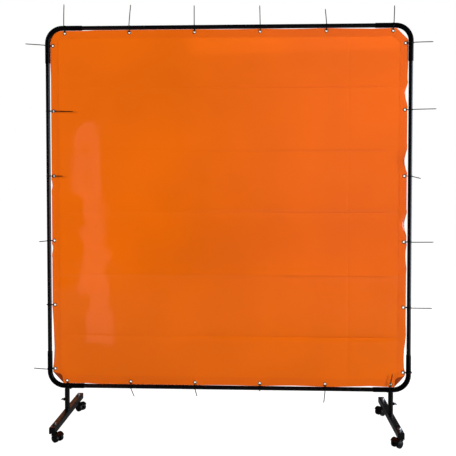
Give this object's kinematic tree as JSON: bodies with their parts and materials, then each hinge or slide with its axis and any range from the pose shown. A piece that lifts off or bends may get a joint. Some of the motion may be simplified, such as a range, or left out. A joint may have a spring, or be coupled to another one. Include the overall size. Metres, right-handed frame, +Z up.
{
  "type": "welding curtain screen",
  "caption": "Rolling welding screen: square black tube frame with an orange vinyl curtain tied on through grommets, on two feet with swivel casters.",
  "frame": {"origin": "on the floor, under the middle of the frame", "axes": "+Z up, +X to the right of someone facing the front, the front is -Y"},
  "size_m": [2.034, 0.524, 2.119],
  "materials": {
    "black_powder_coat": "semi-gloss black powder coat",
    "curtain_vinyl": "glossy tinted flexible vinyl",
    "tie_nylon": "satin black nylon",
    "cap_plastic": "matt black moulded plastic",
    "hood_nylon": "moulded black nylon",
    "wheel_nylon": "moulded black nylon tread",
    "zinc_plate": "bright zinc plate",
    "grommet_brass": "rolled brass"
  },
  "bodies": {
    "frame": {"top_tube": "black_powder_coat", "right_tube": "black_powder_coat", "bottom_tube": "black_powder_coat", "left_tube": "black_powder_coat", "elbow_top_right": "black_powder_coat", "elbow_bottom_right": "black_powder_coat", "elbow_bottom_left": "black_powder_coat", "elbow_top_left": "black_powder_coat", "leg_left": "black_powder_coat", "leg_right": "black_powder_coat", "curtain": "curtain_vinyl", "tie_top_1": "tie_nylon", "tie_top_2": "tie_nylon", "tie_top_3": "tie_nylon", "tie_top_4": "tie_nylon", "tie_top_5": "tie_nylon", "tie_top_6": "tie_nylon", "tie_right_1": "tie_nylon", "tie_right_2": "tie_nylon", "tie_right_3": "tie_nylon", "tie_right_4": "tie_nylon", "tie_right_5": "tie_nylon", "tie_right_6": "tie_nylon", "tie_bottom_1": "tie_nylon", "tie_bottom_2": "tie_nylon", "tie_bottom_3": "tie_nylon", "tie_bottom_4": "tie_nylon", "tie_bottom_5": "tie_nylon", "tie_bottom_6": "tie_nylon", "tie_left_1": "tie_nylon", "tie_left_2": "tie_nylon", "tie_left_3": "tie_nylon", "tie_left_4": "tie_nylon", "tie_left_5": "tie_nylon", "tie_left_6": "tie_nylon"},
    "foot_left": {"foot_bar_left": "black_powder_coat", "leg_socket_left": "black_powder_coat", "end_cap_front_left": "cap_plastic", "caster_stud_front_left": "zinc_plate", "end_cap_rear_left": "cap_plastic", "caster_stud_rear_left": "zinc_plate"},
    "wing_screw_left": {"wing_screw_left": "zinc_plate"},
    "caster_front_left": {"caster_hood_front_left": "hood_nylon"},
    "wheels_front_left": {"wheels_front_left": "wheel_nylon"},
    "brake_lever_left": {"brake_lever_left": "hood_nylon"},
    "caster_rear_left": {"caster_hood_rear_left": "hood_nylon"},
    "wheels_rear_left": {"wheels_rear_left": "wheel_nylon"},
    "foot_right": {"foot_bar_right": "black_powder_coat", "leg_socket_right": "black_powder_coat", "end_cap_front_right": "cap_plastic", "caster_stud_front_right": "zinc_plate", "end_cap_rear_right": "cap_plastic", "caster_stud_rear_right": "zinc_plate"},
    "wing_screw_right": {"wing_screw_right": "zinc_plate"},
    "caster_front_right": {"caster_hood_front_right": "hood_nylon"},
    "wheels_front_right": {"wheels_front_right": "wheel_nylon"},
    "brake_lever_right": {"brake_lever_right": "hood_nylon"},
    "caster_rear_right": {"caster_hood_rear_right": "hood_nylon"},
    "wheels_rear_right": {"wheels_rear_right": "wheel_nylon"}
  },
  "joints": [
    {"name": "foot_turn_left", "type": "hinge", "parent": "frame", "child": "foot_left", "pos_m": [-0.815, 0, 0.1], "axis": [0, 0, 1], "range_deg": [-90, 90]},
    {"name": "wing_screw_turn_left", "type": "hinge", "parent": "foot_left", "child": "wing_screw_left", "pos_m": [-0.835, 0, 0.13], "axis": [-1, 0, 0], "range_deg": [0, 720]},
    {"name": "swivel_front_left", "type": "hinge", "parent": "foot_left", "child": "caster_front_left", "pos_m": [-0.815, -0.215, 0.048], "axis": [0, 0, 1], "continuous": true},
    {"name": "wheel_spin_front_left", "type": "hinge", "parent": "caster_front_left", "child": "wheels_front_left", "pos_m": [-0.80043, -0.22376, 0.02], "axis": [0.515, 0.8572, 0], "continuous": true},
    {"name": "brake_left", "type": "hinge", "parent": "caster_front_left", "child": "brake_lever_left", "pos_m": [-0.77986, -0.23611, 0.03276], "axis": [0.515, 0.8572, 0], "range_deg": [0, 20]},
    {"name": "swivel_rear_left", "type": "hinge", "parent": "foot_left", "child": "caster_rear_left", "pos_m": [-0.815, 0.215, 0.048], "axis": [0, 0, 1], "continuous": true},
    {"name": "wheel_spin_rear_left", "type": "hinge", "parent": "caster_rear_left", "child": "wheels_rear_left", "pos_m": [-0.80043, 0.20624, 0.02], "axis": [0.515, 0.8572, 0], "continuous": true},
    {"name": "foot_turn_right", "type": "hinge", "parent": "frame", "child": "foot_right", "pos_m": [0.815, 0, 0.1], "axis": [0, 0, 1], "range_deg": [-90, 90]},
    {"name": "wing_screw_turn_right", "type": "hinge", "parent": "foot_right", "child": "wing_screw_right", "pos_m": [0.835, 0, 0.13], "axis": [1, 0, 0], "range_deg": [0, 720]},
    {"name": "swivel_front_right", "type": "hinge", "parent": "foot_right", "child": "caster_front_right", "pos_m": [0.815, -0.215, 0.048], "axis": [0, 0, 1], "continuous": true},
    {"name": "wheel_spin_front_right", "type": "hinge", "parent": "caster_front_right", "child": "wheels_front_right", "pos_m": [0.80217, -0.22615, 0.02], "axis": [0.6561, -0.7547, 0], "continuous": true},
    {"name": "brake_right", "type": "hinge", "parent": "caster_front_right", "child": "brake_lever_right", "pos_m": [0.78406, -0.24189, 0.03276], "axis": [0.6561, -0.7547, 0], "range_deg": [0, 20]},
    {"name": "swivel_rear_right", "type": "hinge", "parent": "foot_right", "child": "caster_rear_right", "pos_m": [0.815, 0.215, 0.048], "axis": [0, 0, 1], "continuous": true},
    {"name": "wheel_spin_rear_right", "type": "hinge", "parent": "caster_rear_right", "child": "wheels_rear_right", "pos_m": [0.80217, 0.20385, 0.02], "axis": [0.6561, -0.7547, 0], "continuous": true}
  ]
}
